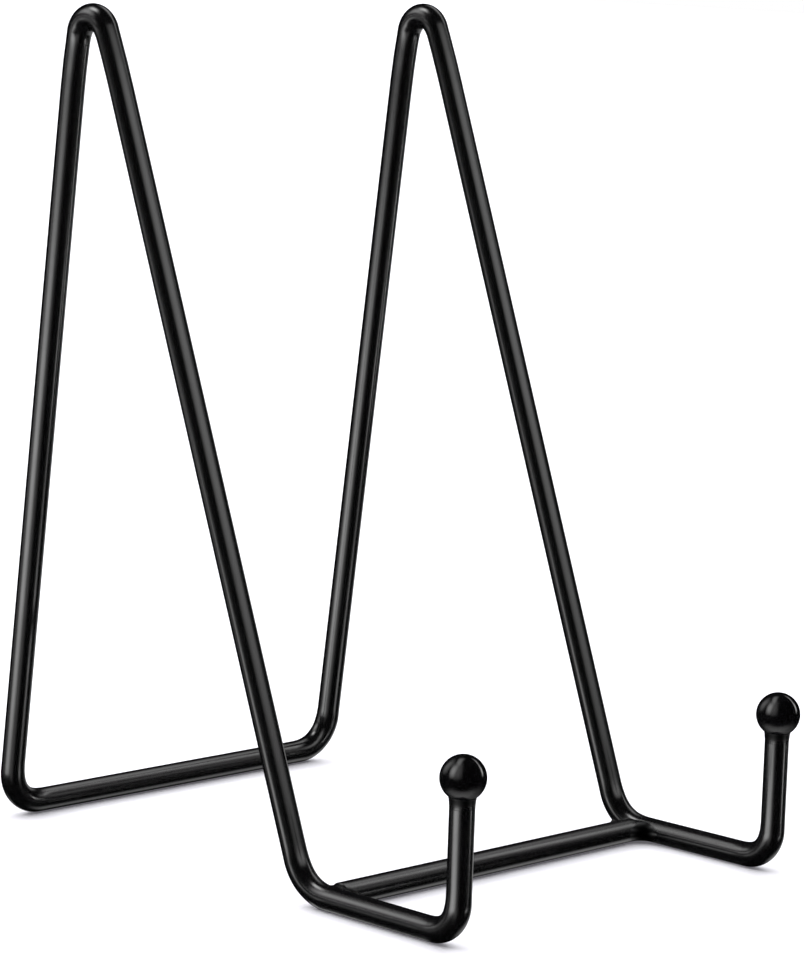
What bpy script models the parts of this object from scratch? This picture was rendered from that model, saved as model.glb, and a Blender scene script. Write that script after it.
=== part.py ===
"""Wire stand that holds an album, a plate or a picture at a lean.

One length of steel wire is bent into both hooks, feet and legs and the rear bar. A straight wire is welded
between the two feet, just in front of the heels, and a drilled steel ball is brazed on each end of the long
wire. Metres, +Z up, front towards -Y, origin at the middle of the base, on the floor.
"""

import math

import bmesh
import bpy
from mathutils import Matrix, Vector

MM = 0.001

# Stock, over the powder coat
WIRE_RADIUS = 2.2 * MM
BALL_RADIUS = 4.0 * MM

# Layout, between the corners where straight runs of the wire's centreline would meet
SPAN = 82.2 * MM  # side to side at the floor
APEX_SPLAY = 1.0 * MM  # how far each apex leans outwards
FOOT_LENGTH = 37.0 * MM  # hook corner to heel corner
BASE_DEPTH = 79.5 * MM  # heel corner to rear bar
APEX_SETBACK = 61.5 * MM  # heel corner back to the apex corner
APEX_HEIGHT = 164.5 * MM  # apex corner above the floor
HOOK_HEIGHT = 27.1 * MM  # ball centre above the foot's centreline
CROSSBAR_SETFORWARD = 5.7 * MM  # crossbar in front of the heel corner

# Bend radii of the centreline, in order along one side
HOOK_BEND = 5.6 * MM
HEEL_BEND = 8.4 * MM
APEX_BEND = 4.4 * MM
REAR_BEND = 6.9 * MM

# Joints between the pieces
GAP = 0.35 * MM  # clearance left between neighbouring solids
SOCKET_PAST_CENTRE = 0.5 * MM  # the ball's drilled socket ends this far above its centre
CROSSBAR_WELD_LENGTH = 1.6 * MM  # bead between the crossbar's end and the foot's side
CROSSBAR_WELD_FLARE = 1.0 * MM  # how far the bead spreads along the foot, each way
BALL_WELD_LENGTH = 0.9 * MM  # braze fillet below a ball
BALL_WELD_FLARE = 0.65 * MM  # how far the fillet spreads over the ball
BALL_WELD_LIP = 0.15 * MM  # thickness of the fillet's lower rim

# Fineness
SIDES = 24  # flats around a wire
BEND_STEPS = 10
BALL_SEGMENTS = 32
WELD_STEPS = 6

# Finish: near-black powder coat, glossier on the balls
COAT_COLOUR = (0.012, 0.012, 0.013, 1.0)
WIRE_ROUGHNESS = 0.3
BALL_ROUGHNESS = 0.18
WELD_ROUGHNESS = 0.36

# Places that follow. The base runs from the front of the balls to the back of the rear bar.
FLAT = 2 * math.pi / SIDES  # angle that one flat covers
CORNER_RADIUS = WIRE_RADIUS / math.cos(FLAT / 2)  # the edges between flats, with the flats at WIRE_RADIUS
HEEL_Y = (FOOT_LENGTH + BALL_RADIUS - BASE_DEPTH - WIRE_RADIUS) / 2
HOOK_Y = HEEL_Y - FOOT_LENGTH
REAR_Y = HEEL_Y + BASE_DEPTH
APEX_Y = HEEL_Y + APEX_SETBACK
CROSSBAR_Y = HEEL_Y - CROSSBAR_SETFORWARD
SIDE_X = SPAN / 2
BALL_Z = WIRE_RADIUS + HOOK_HEIGHT
SOCKET_TOP = BALL_Z + SOCKET_PAST_CENTRE
FOOT_INNER_X = SIDE_X - WIRE_RADIUS
WELD_START = FOOT_INNER_X - CROSSBAR_WELD_LENGTH
SIGNS = {"left": -1, "right": 1}


def clear_scene():
    for obj in list(bpy.data.objects):
        bpy.data.objects.remove(obj, do_unlink=True)


def new_collection(name, hidden=False):
    collection = bpy.data.collections.new(name)
    bpy.context.scene.collection.children.link(collection)
    collection.hide_render = hidden
    return collection


def coat(name, roughness):
    """A principled material for the powder coat."""
    material = bpy.data.materials.new(name)
    material.use_nodes = True
    material.diffuse_color = COAT_COLOUR
    shader = material.node_tree.nodes["Principled BSDF"]
    shader.inputs["Base Color"].default_value = COAT_COLOUR
    shader.inputs["Metallic"].default_value = 0.0
    shader.inputs["Roughness"].default_value = roughness
    return material


def bent(corners, radii):
    """Points along a wire through the corners, each rounded by an arc of its radius."""
    points = [corners[0]]
    for before, corner, after, radius in zip(corners, corners[1:], corners[2:], radii):
        back = (before - corner).normalized()
        ahead = (after - corner).normalized()
        half_angle = back.angle(ahead) / 2
        centre = corner + (back + ahead).normalized() * radius / math.sin(half_angle)
        spoke = corner + back * radius / math.tan(half_angle) - centre
        axis = ahead.cross(back)
        for step in range(BEND_STEPS + 1):
            turned = (math.pi - 2 * half_angle) * step / BEND_STEPS
            points.append(centre + Matrix.Rotation(turned, 3, axis) @ spoke)
    points.append(corners[-1])
    return points


def side_corners(sign):
    """Corners of one side, from the wire's end inside the ball round to the rear bar."""
    return [
        Vector((sign * SIDE_X, HOOK_Y, SOCKET_TOP - GAP)),
        Vector((sign * SIDE_X, HOOK_Y, WIRE_RADIUS)),
        Vector((sign * SIDE_X, HEEL_Y, WIRE_RADIUS)),
        Vector((sign * (SIDE_X + APEX_SPLAY), APEX_Y, APEX_HEIGHT)),
        Vector((sign * SIDE_X, REAR_Y, WIRE_RADIUS)),
    ]


def flats_turn(directions):
    """How far a wire's flats have turned about it once it has bent through these directions."""
    upward = Vector((0, 0, 1))
    for before, after in zip(directions, directions[1:]):
        upward.rotate(before.rotation_difference(after))
    return math.atan2(upward.y, upward.z)


def add_wire(name, points, tilts, collection, material):
    """A round wire along the points: a curve with a bevel and filled ends."""
    curve = bpy.data.curves.new(name, "CURVE")
    curve.dimensions = "3D"
    curve.bevel_depth = CORNER_RADIUS
    curve.bevel_resolution = (SIDES - 4) // 2
    curve.use_fill_caps = True
    curve.materials.append(material)
    spline = curve.splines.new("POLY")
    spline.use_smooth = True
    spline.points.add(len(points) - 1)
    for spline_point, point, tilt in zip(spline.points, points, tilts):
        spline_point.co = (*point, 1.0)
        spline_point.tilt = tilt
    obj = bpy.data.objects.new(name, curve)
    collection.objects.link(obj)
    return obj


def add_mesh(name, bm, collection, material=None):
    mesh = bpy.data.meshes.new(name)
    bm.to_mesh(mesh)
    bm.free()
    if material:
        mesh.materials.append(material)
    obj = bpy.data.objects.new(name, mesh)
    collection.objects.link(obj)
    return obj


def cut(obj, cutter):
    """Take the cutter's shape out of the object, and keep the cutter out of sight."""
    modifier = obj.modifiers.new("cut_" + cutter.name, "BOOLEAN")
    modifier.operation = "DIFFERENCE"
    modifier.solver = "EXACT"
    modifier.object = cutter
    cutter.hide_render = True
    cutter.display_type = "WIRE"


def make_wire_frame(collection, material):
    """The long wire: hook, foot and legs, the rear bar, and the same again on the other side."""
    left = side_corners(SIGNS["left"])
    right = side_corners(SIGNS["right"])
    radii = [HOOK_BEND, HEEL_BEND, APEX_BEND, REAR_BEND]
    points = bent(left + right[::-1], radii + radii[::-1])
    # One flat of each foot and of the rear bar faces straight down, so the stand rests on flats.
    runs = [(b - a).normalized() for a, b in zip(left[1:], left[2:] + right[-1:])]
    rear_bar_turn = flats_turn(runs)
    rear_bend_top = WIRE_RADIUS + 2 * REAR_BEND
    tilts = []
    for point in points:
        at_rear_bar = point.y > APEX_Y and point.z < rear_bend_top
        tilts.append(FLAT / 2 + (rear_bar_turn if at_rear_bar else 0.0))
    return add_wire("wire_frame", points, tilts, collection, material)


def make_crossbar(collection, material):
    """The straight wire between the feet, which stops short of its two weld beads."""
    end_x = WELD_START - GAP
    ends = [Vector((-end_x, CROSSBAR_Y, WIRE_RADIUS)), Vector((end_x, CROSSBAR_Y, WIRE_RADIUS))]
    return add_wire("crossbar", ends, [FLAT / 2, FLAT / 2], collection, material)


def make_foot_cutter(side, collection):
    """The foot near the crossbar, enlarged by the gap, that shapes a weld bead."""
    bm = bmesh.new()
    bmesh.ops.create_cone(
        bm,
        cap_ends=True,
        segments=SIDES,
        radius1=WIRE_RADIUS + GAP,
        radius2=WIRE_RADIUS + GAP,
        depth=4 * (WIRE_RADIUS + CROSSBAR_WELD_FLARE),
        matrix=Matrix.Rotation(math.pi / 2, 4, "X"),
    )
    obj = add_mesh("foot_cutter_" + side, bm, collection)
    obj.location = (SIGNS[side] * SIDE_X, CROSSBAR_Y, WIRE_RADIUS)
    return obj


def make_crossbar_weld(side, collection, cutters, material):
    """A bead as round as the crossbar at its inner end, and wider along the foot at its outer end."""
    stations = []
    for step in range(WELD_STEPS + 1):
        along = step / WELD_STEPS
        x = WELD_START + along * (FOOT_INNER_X - GAP - WELD_START)
        stations.append((x, WIRE_RADIUS + CROSSBAR_WELD_FLARE * (1 - math.sqrt(1 - along**2))))
    stations.append((SIDE_X, WIRE_RADIUS + CROSSBAR_WELD_FLARE))

    bm = bmesh.new()
    rings = []
    for x, half_width in stations:
        ring = []
        for flat in range(SIDES):
            angle = SIGNS[side] * FLAT * flat
            y = CROSSBAR_Y + half_width * math.cos(angle)
            z = WIRE_RADIUS + WIRE_RADIUS * math.sin(angle)
            ring.append(bm.verts.new((SIGNS[side] * x, y, z)))
        rings.append(ring)
    for inner, outer in zip(rings, rings[1:]):
        for flat in range(SIDES):
            following = (flat + 1) % SIDES
            bm.faces.new((inner[flat], inner[following], outer[following], outer[flat]))
    bm.faces.new(rings[0][::-1])
    bm.faces.new(rings[-1])
    obj = add_mesh("crossbar_weld_" + side, bm, collection, material)
    obj.data.shade_smooth()
    cut(obj, make_foot_cutter(side, cutters))
    return obj


def make_ball(side, collection, cutters, material):
    """A ball with a drilled socket that takes the end of the wire."""
    bm = bmesh.new()
    bmesh.ops.create_uvsphere(
        bm, u_segments=BALL_SEGMENTS, v_segments=BALL_SEGMENTS // 2, radius=BALL_RADIUS
    )
    ball = add_mesh("ball_" + side, bm, collection, material)
    ball.location = (SIGNS[side] * SIDE_X, HOOK_Y, BALL_Z)
    ball.data.shade_smooth()

    depth = SOCKET_TOP - (BALL_Z - 2 * BALL_RADIUS)
    bm = bmesh.new()
    bmesh.ops.create_cone(
        bm,
        cap_ends=True,
        segments=SIDES,
        radius1=WIRE_RADIUS + GAP,
        radius2=WIRE_RADIUS + GAP,
        depth=depth,
    )
    drill = add_mesh("socket_drill_" + side, bm, cutters)
    drill.location = (SIGNS[side] * SIDE_X, HOOK_Y, SOCKET_TOP - depth / 2)
    cut(ball, drill)
    return ball


def make_ball_weld(side, collection, material):
    """A turned fillet of braze around the wire, hollowed to the ball at its top."""
    inner = WIRE_RADIUS + GAP
    hollow = BALL_RADIUS + GAP
    widest = inner + BALL_WELD_FLARE
    top_inner = -math.sqrt(hollow**2 - inner**2)
    top_outer = -math.sqrt(hollow**2 - widest**2)
    bottom = top_inner - BALL_WELD_LENGTH
    profile = []
    for step in range(WELD_STEPS + 1):
        angle = math.pi / 2 * step / WELD_STEPS
        radius = widest - (widest - inner - BALL_WELD_LIP) * math.sin(angle)
        profile.append((radius, bottom + (top_outer - bottom) * (1 - math.sin(angle)) ** 0.5))
    profile.append((inner, bottom))
    for step in range(WELD_STEPS):
        radius = inner + (widest - inner) * step / WELD_STEPS
        profile.append((radius, -math.sqrt(hollow**2 - radius**2)))

    bm = bmesh.new()
    verts = [bm.verts.new((radius, 0, z)) for radius, z in profile]
    for start, end in zip(verts, verts[1:] + verts[:1]):
        bm.edges.new((start, end))
    obj = add_mesh("ball_weld_" + side, bm, collection, material)
    obj.location = (SIGNS[side] * SIDE_X, HOOK_Y, BALL_Z)
    screw = obj.modifiers.new("turn", "SCREW")
    screw.steps = SIDES
    screw.render_steps = SIDES
    screw.use_merge_vertices = True
    screw.merge_threshold = 0.01 * MM
    screw.use_smooth_shade = True
    return obj


def main():
    clear_scene()
    stand = new_collection("photo_album_stand")
    cutters = new_collection("cutters", hidden=True)
    wire_coat = coat("wire_coat", WIRE_ROUGHNESS)
    ball_coat = coat("ball_coat", BALL_ROUGHNESS)
    weld_coat = coat("weld_coat", WELD_ROUGHNESS)
    make_wire_frame(stand, wire_coat)
    make_crossbar(stand, wire_coat)
    for side in SIGNS:
        make_crossbar_weld(side, stand, cutters, weld_coat)
        make_ball(side, stand, cutters, ball_coat)
        make_ball_weld(side, stand, weld_coat)


main()
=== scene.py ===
import math

import bmesh
import bpy
import numpy as np
from mathutils import Matrix, Vector


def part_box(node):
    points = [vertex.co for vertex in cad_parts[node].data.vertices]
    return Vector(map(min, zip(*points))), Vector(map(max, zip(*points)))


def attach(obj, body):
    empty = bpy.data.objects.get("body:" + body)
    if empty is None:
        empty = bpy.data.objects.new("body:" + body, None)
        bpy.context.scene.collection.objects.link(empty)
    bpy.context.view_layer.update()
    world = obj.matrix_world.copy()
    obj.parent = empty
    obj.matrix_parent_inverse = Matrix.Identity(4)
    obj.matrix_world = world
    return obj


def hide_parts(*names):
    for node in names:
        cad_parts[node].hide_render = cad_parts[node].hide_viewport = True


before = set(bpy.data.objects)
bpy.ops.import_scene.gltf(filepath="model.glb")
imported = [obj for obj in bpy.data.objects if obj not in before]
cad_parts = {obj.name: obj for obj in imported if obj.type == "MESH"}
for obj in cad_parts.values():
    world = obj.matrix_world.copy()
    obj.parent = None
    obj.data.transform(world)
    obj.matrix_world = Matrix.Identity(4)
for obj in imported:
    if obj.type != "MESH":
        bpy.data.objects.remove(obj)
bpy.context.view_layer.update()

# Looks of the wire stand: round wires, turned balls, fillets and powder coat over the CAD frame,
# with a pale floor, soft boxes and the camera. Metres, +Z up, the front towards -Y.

MM = 0.001

# Places, from the CAD nodes
BALL_LOW, BALL_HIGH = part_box("ball_right")
WIRE_LOW, WIRE_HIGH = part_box("wire_frame")
CROSSBAR_LOW, CROSSBAR_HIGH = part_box("crossbar")
WIRE_RADIUS = CROSSBAR_HIGH.z / 2
BALL_RADIUS = (BALL_HIGH.x - BALL_LOW.x) / 2
BALL_Z = BALL_HIGH.z - BALL_RADIUS  # its underside is drilled away
SIDE_X = (BALL_LOW.x + BALL_HIGH.x) / 2
HOOK_Y = (BALL_LOW.y + BALL_HIGH.y) / 2
REAR_Y = WIRE_HIGH.y - WIRE_RADIUS
CROSSBAR_Y = (CROSSBAR_LOW.y + CROSSBAR_HIGH.y) / 2
SIGNS = {"left": -1, "right": 1}

# Corners where straight runs of the long wire would meet, and its bends. The legs run straight
# towards the apex corner of the CAD, then lean in a little and meet in a tight bend at the tip.
FOOT_LENGTH = 37.0 * MM  # hook corner to heel corner
APEX_SETBACK = 61.5 * MM  # heel corner back to the apex corner
APEX_SPLAY = 1.0 * MM  # how far each apex leans outwards
APEX_HEIGHT = 164.5 * MM
HEEL_Y = HOOK_Y + FOOT_LENGTH
APEX_CORNER = Vector((SIDE_X + APEX_SPLAY, HEEL_Y + APEX_SETBACK, APEX_HEIGHT))
LEAN_START = 0.861  # how far up the legs this begins
APEX_TIP = Vector((SIDE_X + 0.97 * MM, HEEL_Y + 60.62 * MM, 159.28 * MM))
HOOK_BEND = 5.6 * MM
HEEL_BEND = 8.4 * MM
FRONT_LEAN_BEND = 177 * MM
APEX_BEND = 3.9 * MM
BACK_LEAN_BEND = 110 * MM
REAR_BEND = 6.9 * MM
BULGE = 0.25  # how much a bend thickens the wire's inner side, for its sharpness

# Fineness of the wires and balls
SIDES = 56  # round a wire
BEND_STEP = math.radians(3)
RUN_STEP = 1.2 * MM  # longest stretch of wire between two rings
TURN_REACH = 1.6 * MM  # how far along the wire its turning is measured
EDGE_STEPS = 8  # across the crossbar's rounded edge
BALL_SIDES = 96
BALL_STEPS = 48

# Ends of the wires
WIRE_IN_BALL = 1.0 * MM  # the wire's end, above the ball's centre
CROSSBAR_END = 3.0 * MM  # the crossbar's end, short of the foot's centreline
CROSSBAR_EDGE = 0.3 * MM  # rounding of its cut edge

# Weld beads between the crossbar and the feet
BEAD_FILLET = 3.6 * MM  # the hollow in front and behind, from the crossbar to the foot
BEAD_OVER_POWER = 1.2  # how fast the hollow narrows towards the top
BEAD_UNDER_POWER = 0.35  # and towards the underside
BEAD_SKIN = 0.012 * MM  # how far it stands out of the crossbar in front and behind
BEAD_DIP = 0.55 * MM  # how far it lies below the crossbar's top
BEAD_DIP_POWER = 4  # how narrow that dip is
BEAD_SIDES = 96
BEAD_STEPS = 24  # from the crossbar to the foot
BEAD_BURIED_RINGS = 3  # inside the crossbar
BEAD_BURIED_STEP = 0.6 * MM  # from one of them to the next
BEAD_BURIED_SINK = 0.01  # how much smaller the first of them is; further in, by the square
BEAD_IN_FOOT = 0.5 * MM  # how far its end goes on into the foot

# Braze between the balls and the wire
BRAZE_RADIUS = 0.3 * MM  # fillet between a ball and its wire
BRAZE_RUN = 1.6 * MM  # how far the thin film of braze runs down the wire
BRAZE_FILM = 0.14 * MM  # its thickness at the top; it thins out downwards
BRAZE_SKIN = 0.006 * MM  # and at the bottom
BRAZE_FILM_POWER = 1.5  # how it thins out in between
BRAZE_IN_WIRE = 0.3 * MM  # how far it reaches into the wire, and below the film's lower end
BRAZE_IN_BALL = 0.8 * MM  # how far it reaches up into the ball
BRAZE_TUCK = 0.02 * MM  # how far under the wire's surface its lower end stays
BRAZE_SIDES = 72
BRAZE_FILM_STEPS = 16
BRAZE_FILLET_STEPS = 10

# Powder coat
COAT_IOR = 2.0  # more than a real lacquer's 1.5, for strong reflections but dark edges
BLACK = (0.003, 0.003, 0.0033)
TINT_SPREAD = 0.3  # how much specks are lighter or darker than that
NOISE_LOW = 0.3  # nearly all of a noise's values lie between these two
NOISE_HIGH = 0.7
WIRE_ROUGHNESS = (0.18, 0.22)  # glossy patches and dull ones
BALL_ROUGHNESS = (0.11, 0.15)
PEEL_DEPTH = 0.02 * MM
WIRE_PEEL = 0.1
BALL_PEEL = 0.06
WELD_PEEL = 0.12
WELD_DULLNESS = 0.25  # roughness that a weld's middle has over the wires'
HOLLOW_PLACE = 3.2 * MM  # a bead's front hollow, middle of its painted shade, from the centrelines of foot and crossbar
HOLLOW_FADE = (0.6 * MM, 3.6 * MM)  # distances at which its painted shade and roughness begin to fade and are gone
NECK_DROP = 3.4 * MM  # the neck under a ball, middle of its painted shade, below the ball's centre
# distances at which the neck's painted shade and roughness begin to fade and are gone
NECK_FADE = (2.1 * MM, 2.7 * MM)

# Soft boxes that only the gloss sees. Azimuth and elevation that the light comes from, width and
# height in degrees as the stand sees them, turn, brightness in the middle, and distance in metres.
# Another program fitted these numbers to the photo's highlights. About half of the boxes are still
# as fitted, rounded, and the others were then changed.
WIRE_BOXES = {
    "left": (170, -14, 67, 20, -6, 2.81, 3),
    "front_right": (274, 31, 91, 30, -3, 1.13, 2.6),
    "back_right": (339, 39, 50, 13, 55, 1.85, 2.6),
    "back_high": (19, 50, 47, 30, -6, 1.1, 2.5),
    "back_left": (128, 32, 46, 40, 5, 1.69, 2.4),
    "back_left_high": (124, 60, 34, 28, 54, 4.2, 0.81),
    "back_left_low": (140, 9, 48, 3, 16, 2.31, 2.2),
    "low_right": (297, -25, 31, 4, 11, 3.24, 1.1),
    "under_right": (10, -26, 105, 39, 66, 0.7, 2.5),
    "under_back": (76, -43, 41, 8, -7, 1.5, 2),
    "thin_right": (328, -9, 5, 14, 13, 8.0, 0.44),
    "back_low": (128, -7, 34, 29, 51, 0.35, 0.74),
    "left_low": (203, -21, 49, 34, -47, 0.39, 0.69),
    "thin_low_right": (302, -17, 9, 8, -5, 4.27, 0.42),
    "back_thin": (133, -3, 8, 19, -1, 0.73, 0.44),
    "left_thin": (126, 4, 12, 6, 7, 0.38, 1),
    "back_spot": (166, 1, 3, 5, -16, 1.2, 0.71),
    "right_tall": (323, 9, 6, 19, -11, 0.43, 0.9),
}
BALL_BOXES = {
    "ball_left": (162, 31, 39, 69, 10, 1.35, 2),
    "ball_left_wide": (182, 41, 64, 99, 24, 0.46, 2),
    "ball_back": (108, 29, 52, 61, 16, 0.61, 2),
    "ball_right": (337, 16, 13, 42, -30, 3.1, 2),
    "ball_right_high": (358, 35, 38, 11, 21, 1.5, 2),
    "ball_below_front": (213, -80, 102, 57, 1, 0.27, 2),
    "ball_below": (189, -97, 117, 94, -42, 0.24, 2),
    "ball_above": (108, 74, 63, 27, 4, 0.94, 2),
}
BOXES_AIM = Vector((0, 0, 70 * MM))
BOX_FALL = 1.5  # how gently the boxes fade towards their edges
HUMP_PEAK = 0.25  # x * (1 - x) in the middle, where x is 0.5

# Floor, and the suns behind the stand
FLOOR_REACH = 4.0  # from its middle to each edge
FLOOR_COLOUR = (0.88, 0.875, 0.92, 1)
FLOOR_GLOW = (0.93, 0.91, 1, 1)
FLOOR_GLOW_STRENGTH = 0.12
BEHIND_AZIMUTHS = (10, 50, 90, 130)

# Camera, from a fit of the photo's perspective
CAMERA_PLACE = Vector((-499.14 * MM, -489.29 * MM, 175.93 * MM))
CAMERA_AIM = Vector((-0.5 * MM, -1.1 * MM, 68.3 * MM))
CAMERA_ROLL = math.radians(1.915)
CAMERA_LENS = 145.9  # in millimetres, like the sensor
SENSOR_WIDTH = 36


# ---- Shapes ----


def bent(corners, radii):
    """Points along a wire through the corners, each rounded by an arc of its radius."""
    points = [corners[0]]
    for before, corner, after, radius in zip(corners, corners[1:], corners[2:], radii):
        back = (before - corner).normalized()
        ahead = (after - corner).normalized()
        half_angle = back.angle(ahead) / 2
        centre = corner + (back + ahead).normalized() * radius / math.sin(half_angle)
        spoke = corner + back * radius / math.tan(half_angle) - centre
        axis = ahead.cross(back)
        turn = math.pi - 2 * half_angle
        steps = math.ceil(turn / BEND_STEP)
        for step in range(steps + 1):
            points.append(centre + Matrix.Rotation(turn * step / steps, 3, axis) @ spoke)
    points.append(corners[-1])
    return points


def spaced(points):
    """The same points, with more between any two that are far apart."""
    result = [points[0]]
    for start, end in zip(points, points[1:]):
        pieces = max(1, math.ceil((end - start).length / RUN_STEP))
        for piece in range(1, pieces + 1):
            result.append(start.lerp(end, piece / pieces))
    return result


def add_piece(name, bm, material, node):
    """A finished mesh that rides on the stand and stands for a CAD node."""
    bmesh.ops.recalc_face_normals(bm, faces=bm.faces)
    mesh = bpy.data.meshes.new(name)
    bm.to_mesh(mesh)
    bm.free()
    mesh.shade_smooth()
    mesh.materials.append(material)
    piece = bpy.data.objects.new(name, mesh)
    bpy.context.scene.collection.objects.link(piece)
    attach(piece, "root")
    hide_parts(node)
    return piece


def join_rings(bm, rings):
    """A closed tube through rings of as many vertices, with a face across each end."""
    for ring, following in zip(rings, rings[1:]):
        for index in range(len(ring)):
            after = (index + 1) % len(ring)
            bm.faces.new((ring[index], ring[after], following[after], following[index]))
    bm.faces.new(rings[0])
    bm.faces.new(rings[-1])


def headings(points):
    """The direction of a wire at each of its points."""
    befores = points[:1] + points[:-1]
    afters = points[1:] + points[-1:]
    return [(after - before).normalized() for before, after in zip(befores, afters)]


def turnings(points):
    """At each point, the way towards its bend's centre, as long as one over the bend's radius."""
    places = np.array(points)
    steps = np.linalg.norm(np.diff(places, axis=0), axis=1)
    lengths = np.concatenate([[0], np.cumsum(steps)])
    ahead = np.empty_like(places)
    behind = np.empty_like(places)
    for axis in range(3):
        ahead[:, axis] = np.interp(lengths + TURN_REACH, lengths, places[:, axis])
        behind[:, axis] = np.interp(lengths - TURN_REACH, lengths, places[:, axis])
    turns = (ahead + behind - 2 * places) / TURN_REACH**2
    turns[(lengths < TURN_REACH) | (lengths > lengths[-1] - TURN_REACH)] = 0
    return [Vector(turn) for turn in turns]


def round_wire(points, radii=None):
    """A round wire with flat ends along the points, with no twist, and of the radii if given.

    It swells on the inner side of its bends.
    """
    radii = radii or [WIRE_RADIUS] * len(points)
    tangents = headings(points)
    turns = turnings(points)
    across = tangents[0].orthogonal().normalized()
    bm = bmesh.new()
    rings = []
    for index, point in enumerate(points):
        if index:
            across.rotate(tangents[index - 1].rotation_difference(tangents[index]))
        other = tangents[index].cross(across)
        ring = []
        for side in range(SIDES):
            angle = 2 * math.pi * side / SIDES
            offset = across * math.cos(angle) + other * math.sin(angle)
            turn = turns[index]
            swelling = BULGE * WIRE_RADIUS * (turn.length + turn.dot(offset)) / 2
            ring.append(bm.verts.new(point + offset * radii[index] * (1 + swelling)))
        rings.append(ring)
    join_rings(bm, rings)
    return bm


def turned(profile, centre, segments):
    """A closed solid turned about a vertical line through the centre, from (radius, height) pairs.

    A radius of 0 is a point on the axis.
    """
    bm = bmesh.new()
    rings = []
    for radius, height in profile:
        if radius == 0:
            rings.append([bm.verts.new(centre + Vector((0, 0, height)))])
            continue
        ring = []
        for segment in range(segments):
            angle = 2 * math.pi * segment / segments
            offset = Vector((radius * math.cos(angle), radius * math.sin(angle), height))
            ring.append(bm.verts.new(centre + offset))
        rings.append(ring)
    for lower, upper in zip(rings, rings[1:] + rings[:1]):
        if len(lower) == 1 and len(upper) == 1:
            continue
        for index in range(segments):
            after = (index + 1) % segments
            corners = [lower[index % len(lower)], lower[after % len(lower)]]
            corners += [upper[after % len(upper)], upper[index % len(upper)]]
            bm.faces.new(list(dict.fromkeys(corners)))
    return bm


# ---- Pieces ----


def side_corners(sign):
    """Corners of one side, from the wire's end inside the ball round to the rear bar."""
    heel = Vector((sign * SIDE_X, HEEL_Y, WIRE_RADIUS))
    apex = Vector((sign * APEX_CORNER.x, APEX_CORNER.y, APEX_CORNER.z))
    rear = Vector((sign * SIDE_X, REAR_Y, WIRE_RADIUS))
    return [
        Vector((sign * SIDE_X, HOOK_Y, BALL_Z + WIRE_IN_BALL)),
        Vector((sign * SIDE_X, HOOK_Y, WIRE_RADIUS)),
        heel,
        heel.lerp(apex, LEAN_START),
        Vector((sign * APEX_TIP.x, APEX_TIP.y, APEX_TIP.z)),
        rear.lerp(apex, LEAN_START),
        rear,
    ]


def make_long_wire(material):
    """Hook, foot and legs, the rear bar, and the same again on the other side."""
    left = side_corners(SIGNS["left"])
    right = side_corners(SIGNS["right"])
    radii = [HOOK_BEND, HEEL_BEND, FRONT_LEAN_BEND, APEX_BEND, BACK_LEAN_BEND, REAR_BEND]
    points = spaced(bent(left + right[::-1], radii + radii[::-1]))
    return add_piece("long_wire", round_wire(points), material, "wire_frame")


def make_cross_wire(material):
    """The straight wire between the feet, cut short of them, with its cut edges rounded."""
    straight_x = SIDE_X - CROSSBAR_END - CROSSBAR_EDGE
    points = []
    radii = []
    for step in range(EDGE_STEPS + 1):
        turn = math.pi / 2 * step / EDGE_STEPS
        points.append(Vector((straight_x + CROSSBAR_EDGE * math.cos(turn), CROSSBAR_Y, WIRE_RADIUS)))
        radii.append(WIRE_RADIUS - CROSSBAR_EDGE * (1 - math.sin(turn)))
    across = spaced([points[-1], Vector((-straight_x, CROSSBAR_Y, WIRE_RADIUS))])
    mirrored = [Vector((-point.x, point.y, point.z)) for point in points[::-1]]
    all_points = points[:-1] + across[:-1] + mirrored
    all_radii = radii[:-1] + [WIRE_RADIUS] * len(across[:-1]) + radii[::-1]
    wire = round_wire(all_points, all_radii)
    return add_piece("cross_wire", wire, material, "crossbar")


def bead_point(step, angle):
    """A point of the right bead, from the crossbar's centreline, at an angle about it.

    Step 0 is on the crossbar and the last on the foot. Those before and after are inside them.
    """
    front = math.cos(angle)
    upwards = math.sin(angle)
    radius = WIRE_RADIUS + BEAD_SKIN - BEAD_DIP * max(upwards, 0) ** BEAD_DIP_POWER
    height = max(radius * upwards, -WIRE_RADIUS)
    foot_x = SIDE_X - math.sqrt(WIRE_RADIUS**2 - min(abs(height), WIRE_RADIUS) ** 2)
    fillet = BEAD_FILLET * abs(front) ** (BEAD_OVER_POWER if upwards > 0 else BEAD_UNDER_POWER)
    start_x = foot_x - fillet
    turn = math.pi / 2 * min(max(step, 0), BEAD_STEPS) / BEAD_STEPS
    x = start_x + fillet * math.sin(turn)
    y = radius * front + math.copysign(fillet * (1 - math.cos(turn)), front)
    if step < 0:
        x = min(start_x, SIDE_X - CROSSBAR_END - CROSSBAR_EDGE) + BEAD_BURIED_STEP * step
        shrink = 1 - BEAD_BURIED_SINK * step**2
        y *= shrink
        height *= shrink
    if step > BEAD_STEPS:
        x += BEAD_IN_FOOT
    return x, y, height


def make_bead(side, material):
    """The weld bead between a crossbar's end and a foot.

    In front and behind it is a smooth hollow from one wire to the other. On top it lies lower, so
    that the crossbar's cut edge shows.
    """
    bm = bmesh.new()
    rings = []
    for step in range(-BEAD_BURIED_RINGS, BEAD_STEPS + 2):
        ring = []
        for index in range(BEAD_SIDES):
            x, y, height = bead_point(step, 2 * math.pi * index / BEAD_SIDES)
            ring.append(bm.verts.new((SIGNS[side] * x, CROSSBAR_Y + y, WIRE_RADIUS + height)))
        rings.append(ring)
    join_rings(bm, rings)
    return add_piece("bead_" + side, bm, material, "crossbar_weld_" + side)


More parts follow.
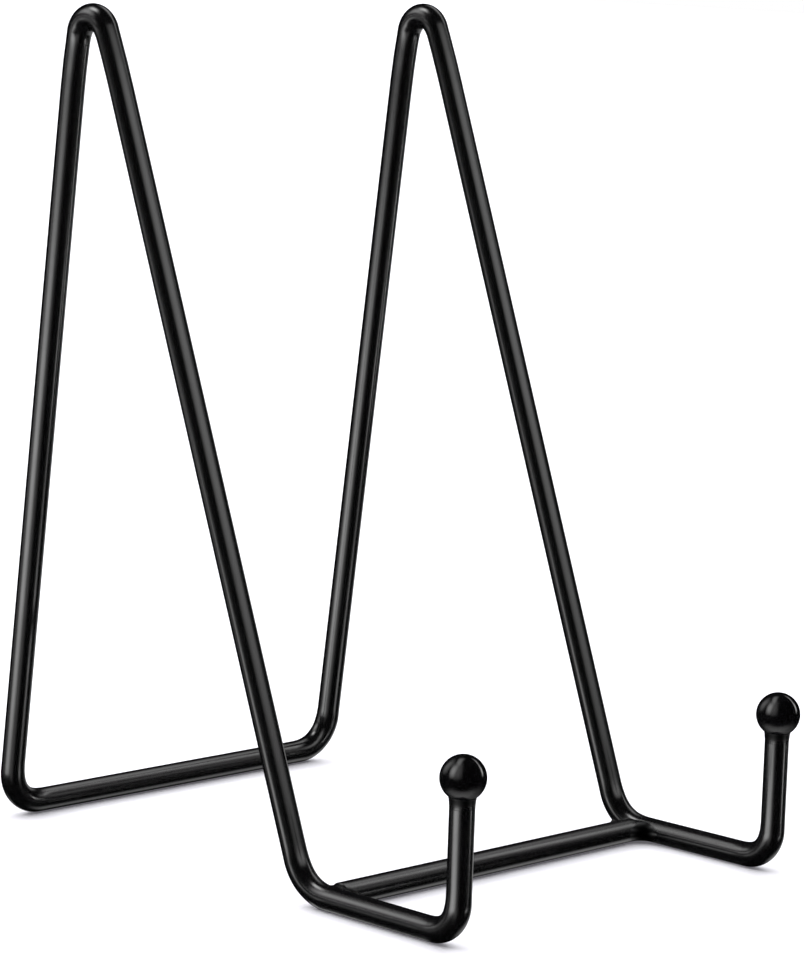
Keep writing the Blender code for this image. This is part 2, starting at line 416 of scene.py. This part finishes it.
def make_knob(side, material):
    """A turned ball, drilled from below for the wire's end."""
    bore = WIRE_RADIUS
    start = math.asin(bore / BALL_RADIUS)
    profile = [(0, WIRE_IN_BALL), (bore, WIRE_IN_BALL)]
    for step in range(BALL_STEPS):
        angle = start + (math.pi - start) * step / BALL_STEPS
        profile.append((BALL_RADIUS * math.sin(angle), -BALL_RADIUS * math.cos(angle)))
    profile.append((0, BALL_RADIUS))
    centre = Vector((SIGNS[side] * SIDE_X, HOOK_Y, BALL_Z))
    ball = turned(profile, centre, BALL_SIDES)
    return add_piece("knob_" + side, ball, material, "ball_" + side)


def make_braze(side, material):
    """A small fillet of braze under the ball, and the film that it thins out into down the wire."""
    ring_radius = WIRE_RADIUS + BRAZE_RADIUS
    ring_z = -math.sqrt((BALL_RADIUS + BRAZE_RADIUS) ** 2 - ring_radius**2)
    touch = math.atan2(-ring_z, ring_radius)
    inner = WIRE_RADIUS - BRAZE_IN_WIRE
    bottom = ring_z - BRAZE_RUN
    profile = [(inner, ring_z + BRAZE_IN_BALL), (inner, bottom - BRAZE_IN_WIRE)]
    profile.append((WIRE_RADIUS - BRAZE_TUCK, bottom - BRAZE_IN_WIRE))
    for step in range(BRAZE_FILM_STEPS + 1):
        up = step / BRAZE_FILM_STEPS
        film = BRAZE_SKIN + (BRAZE_FILM - BRAZE_SKIN) * up**BRAZE_FILM_POWER
        profile.append((WIRE_RADIUS + film, bottom + BRAZE_RUN * up))
    hollow = BRAZE_RADIUS - BRAZE_FILM
    for step in range(1, BRAZE_FILLET_STEPS + 1):
        angle = math.pi - touch * step / BRAZE_FILLET_STEPS
        profile.append((ring_radius + hollow * math.cos(angle), ring_z + hollow * math.sin(angle)))
    centre = Vector((SIGNS[side] * SIDE_X, HOOK_Y, BALL_Z))
    fillet = turned(profile, centre, BRAZE_SIDES)
    return add_piece("braze_" + side, fillet, material, "ball_weld_" + side)


# ---- Shader nodes ----


def node(tree, kind, **settings):
    """A shader node with some of its settings and plain inputs filled in."""
    made = tree.nodes.new(kind)
    for key, value in settings.items():
        if hasattr(made, key):
            setattr(made, key, value)
        else:
            made.inputs[key.replace("_", " ")].default_value = value
    return made


def calculated(tree, operation, first, second):
    """The result of a Math node on two values, each a number or another node's output."""
    made = node(tree, "ShaderNodeMath", operation=operation)
    for socket, value in zip(made.inputs, (first, second)):
        if isinstance(value, bpy.types.NodeSocket):
            tree.links.new(value, socket)
        else:
            socket.default_value = value
    return made.outputs[0]


# ---- Coats ----


def add_gloss(tree, roughness):
    """Roughness that varies from patch to patch between two values."""
    patches = node(tree, "ShaderNodeTexNoise", Scale=160.0, Detail=3.0, Roughness=0.55)
    tree.links.new(tree.nodes["place"].outputs["Object"], patches.inputs["Vector"])
    gloss = node(
        tree,
        "ShaderNodeMapRange",
        From_Min=NOISE_LOW,
        From_Max=NOISE_HIGH,
        To_Min=roughness[0],
        To_Max=roughness[1],
    )
    tree.links.new(patches.outputs["Fac"], gloss.inputs["Value"])
    tree.links.new(gloss.outputs["Result"], tree.nodes["Principled BSDF"].inputs["Roughness"])


def add_specks(tree):
    """Fine specks a little darker and lighter than the black."""
    tint = node(tree, "ShaderNodeValToRGB")
    darker, lighter = tint.color_ramp.elements
    darker.position = NOISE_LOW
    darker.color = (*[part * (1 - TINT_SPREAD) for part in BLACK], 1)
    lighter.position = NOISE_HIGH
    lighter.color = (*[part * (1 + TINT_SPREAD) for part in BLACK], 1)
    specks = node(tree, "ShaderNodeTexNoise", Scale=900.0, Detail=2.0)
    tree.links.new(tree.nodes["place"].outputs["Object"], specks.inputs["Vector"])
    tree.links.new(specks.outputs["Fac"], tint.inputs["Fac"])
    tree.links.new(tint.outputs["Color"], tree.nodes["Principled BSDF"].inputs["Base Color"])


def add_peel(tree, strength):
    """An orange-peel skin."""
    skin = node(tree, "ShaderNodeTexNoise", Scale=1100.0, Detail=2.0, Roughness=0.5)
    tree.links.new(tree.nodes["place"].outputs["Object"], skin.inputs["Vector"])
    bump = node(tree, "ShaderNodeBump", Strength=strength, Distance=PEEL_DEPTH)
    tree.links.new(skin.outputs["Fac"], bump.inputs["Height"])
    tree.links.new(bump.outputs["Normal"], tree.nodes["Principled BSDF"].inputs["Normal"])


def coat(name, roughness, peel):
    """Near-black powder coat, with a roughness between two values, specks and orange peel."""
    material = bpy.data.materials.new(name)
    material.use_nodes = True
    tree = material.node_tree
    tree.nodes["Principled BSDF"].inputs["IOR"].default_value = COAT_IOR
    node(tree, "ShaderNodeTexCoord", name="place")
    add_gloss(tree, roughness)
    add_specks(tree)
    add_peel(tree, peel)
    return material


def weld_coat_with_painted_shade(name, middle, fade):
    """The wires' coat, with painted shade and more roughness near a weld's middle, glossy at the
    wires.

    It fades between two distances from the middle, which stands for both sides of the stand. The
    painted shade is a metallic share as black as the coat, which reflects almost nothing, so the
    middle is dark.
    """
    material = coat(name, WIRE_ROUGHNESS, WELD_PEEL)
    tree = material.node_tree
    folded = node(tree, "ShaderNodeVectorMath", operation="ABSOLUTE")
    tree.links.new(tree.nodes["place"].outputs["Object"], folded.inputs[0])
    distance = node(tree, "ShaderNodeVectorMath", operation="DISTANCE")
    distance.inputs[1].default_value = middle
    tree.links.new(folded.outputs["Vector"], distance.inputs[0])
    # Rougher coat and painted shade, full near the middle and gone at the far distance
    dullness_and_painted_shade = node(
        tree,
        "ShaderNodeMapRange",
        interpolation_type="SMOOTHSTEP",
        From_Min=fade[0],
        From_Max=fade[1],
        To_Min=WELD_DULLNESS,
        To_Max=0.0,
    )
    tree.links.new(distance.outputs["Value"], dullness_and_painted_shade.inputs["Value"])
    shader = tree.nodes["Principled BSDF"]
    gloss = shader.inputs["Roughness"].links[0].from_socket
    rougher = calculated(tree, "ADD", gloss, dullness_and_painted_shade.outputs["Result"])
    tree.links.new(rougher, shader.inputs["Roughness"])
    # Painted shade: a black metallic share, full in the middle of the weld, that darkens it
    shade = calculated(tree, "DIVIDE", dullness_and_painted_shade.outputs["Result"], WELD_DULLNESS)
    tree.links.new(shade, shader.inputs["Metallic"])
    return material


# ---- Studio ----


def direction(azimuth, elevation):
    """The way towards an azimuth and an elevation in degrees."""
    azimuth = math.radians(azimuth)
    elevation = math.radians(elevation)
    level = math.cos(elevation)
    return Vector((level * math.cos(azimuth), level * math.sin(azimuth), math.sin(elevation)))


def soften(lamp):
    """Makes a lamp brightest in its middle, fading to nothing at its edges."""
    lamp.use_nodes = True
    tree = lamp.node_tree
    place = node(tree, "ShaderNodeNewGeometry")
    split = node(tree, "ShaderNodeSeparateXYZ")
    tree.links.new(place.outputs["Parametric"], split.inputs["Vector"])
    humps = []
    for axis in ("X", "Y"):
        rest = calculated(tree, "SUBTRACT", 1.0, split.outputs[axis])
        humps.append(calculated(tree, "MULTIPLY", split.outputs[axis], rest))
    both = calculated(tree, "MULTIPLY", *humps)
    whole = calculated(tree, "MULTIPLY", both, 1 / HUMP_PEAK**2)
    fall = calculated(tree, "POWER", whole, BOX_FALL)
    tree.links.new(fall, tree.nodes["Emission"].inputs["Strength"])


def make_soft_box(name, azimuth, elevation, width, height, turn, brightness, distance, lit):
    """A flat lamp at a distance, facing the stand, seen only in the reflections on the lit pieces."""
    lamp = bpy.data.lights.new(name, "AREA")
    lamp.shape = "RECTANGLE"
    lamp.size = 2 * distance * math.tan(math.radians(width) / 2)
    lamp.size_y = 2 * distance * math.tan(math.radians(height) / 2)
    lamp.energy = brightness * math.pi * lamp.size * lamp.size_y
    soften(lamp)
    box = bpy.data.objects.new(name, lamp)
    bpy.context.scene.collection.objects.link(box)
    towards = direction(azimuth, elevation)
    side = Vector((0, 0, 1)).cross(towards).normalized()
    rise = towards.cross(side)
    facing = Matrix((side, rise, towards)).transposed() @ Matrix.Rotation(math.radians(turn), 3, "Z")
    box.matrix_world = Matrix.Translation(BOXES_AIM + towards * distance) @ facing.to_4x4()
    box.visible_camera = False
    box.visible_diffuse = False
    box.light_linking.receiver_collection = lit


def group(name, pieces):
    """The pieces that a set of soft boxes lights."""
    collection = bpy.data.collections.new(name)
    for piece in pieces:
        collection.objects.link(piece)
    return collection


def make_sun(name, azimuth, elevation, spread, strength):
    """Soft light on the floor from one direction, kept out of the reflections."""
    lamp = bpy.data.lights.new(name, "SUN")
    lamp.angle = math.radians(spread)
    lamp.energy = strength
    sun = bpy.data.objects.new(name, lamp)
    bpy.context.scene.collection.objects.link(sun)
    sun.rotation_mode = "QUATERNION"
    sun.rotation_quaternion = direction(azimuth, elevation).to_track_quat("Z", "Y")
    sun.visible_glossy = False


def make_world():
    """White behind everything for the camera, and dark for every other ray."""
    world = bpy.data.worlds.new("studio")
    bpy.context.scene.world = world
    world.use_nodes = True
    tree = world.node_tree
    path = node(tree, "ShaderNodeLightPath")
    background = tree.nodes["Background"]
    background.inputs["Color"].default_value = (1, 1, 1, 1)
    tree.links.new(path.outputs["Is Camera Ray"], background.inputs["Strength"])


def make_floor():
    """A pale matt floor, kept out of the reflections like the lamps that light it."""
    bm = bmesh.new()
    bmesh.ops.create_grid(bm, x_segments=1, y_segments=1, size=FLOOR_REACH)
    mesh = bpy.data.meshes.new("floor")
    bm.to_mesh(mesh)
    bm.free()
    floor = bpy.data.objects.new("floor", mesh)
    bpy.context.scene.collection.objects.link(floor)
    material = bpy.data.materials.new("pale_floor")
    material.use_nodes = True
    shader = material.node_tree.nodes["Principled BSDF"]
    shader.inputs["Base Color"].default_value = FLOOR_COLOUR
    shader.inputs["Roughness"].default_value = 1.0
    shader.inputs["Emission Color"].default_value = FLOOR_GLOW
    shader.inputs["Emission Strength"].default_value = FLOOR_GLOW_STRENGTH
    shader.inputs["Specular IOR Level"].default_value = 0.0
    mesh.materials.append(material)
    floor.visible_glossy = False
    floor.visible_shadow = False


def make_camera():
    """The photograph's view: from the left front, a little above, with a long lens."""
    lens = bpy.data.cameras.new("camera")
    lens.lens = CAMERA_LENS
    lens.sensor_width = SENSOR_WIDTH
    camera = bpy.data.objects.new("camera", lens)
    bpy.context.scene.collection.objects.link(camera)
    looking = (CAMERA_AIM - CAMERA_PLACE).to_track_quat("-Z", "Y").to_matrix()
    roll = Matrix.Rotation(CAMERA_ROLL, 3, "Z")
    camera.matrix_world = Matrix.Translation(CAMERA_PLACE) @ (looking @ roll).to_4x4()
    bpy.context.scene.camera = camera


def make_stand():
    """All pieces in their coats. Returns the wires with their welds, and the balls."""
    wire_coat = coat("wire_coat", WIRE_ROUGHNESS, WIRE_PEEL)
    ball_coat = coat("ball_coat", BALL_ROUGHNESS, BALL_PEEL)
    # Middles of the welds' painted shade: the hollow in front of a bead, and the neck under a ball
    hollow = Vector((SIDE_X - HOLLOW_PLACE, abs(CROSSBAR_Y) + HOLLOW_PLACE, WIRE_RADIUS))
    bead_coat_with_painted_shade = weld_coat_with_painted_shade("bead_coat_with_painted_shade", hollow, HOLLOW_FADE)
    neck = Vector((SIDE_X, abs(HOOK_Y), BALL_Z - NECK_DROP))
    braze_coat_with_painted_shade = weld_coat_with_painted_shade("braze_coat_with_painted_shade", neck, NECK_FADE)
    wires = [make_long_wire(wire_coat), make_cross_wire(wire_coat)]
    balls = []
    for side in SIGNS:
        wires.append(make_bead(side, bead_coat_with_painted_shade))
        wires.append(make_braze(side, braze_coat_with_painted_shade))
        balls.append(make_knob(side, ball_coat))
    return wires, balls


def main():
    """The stand, the floor and light round it, and the camera."""
    wires, balls = make_stand()
    make_floor()
    make_world()
    for boxes, lit in ((WIRE_BOXES, group("wires", wires)), (BALL_BOXES, group("balls", balls))):
        for name, box in boxes.items():
            make_soft_box(name, *box, lit)
    make_sun("over", azimuth=60, elevation=80, spread=90, strength=2.6)
    for azimuth in BEHIND_AZIMUTHS:
        make_sun("behind_%d" % azimuth, azimuth, elevation=28, spread=40, strength=1.4)
    make_camera()
    bpy.context.scene.view_settings.view_transform = "Standard"


main()
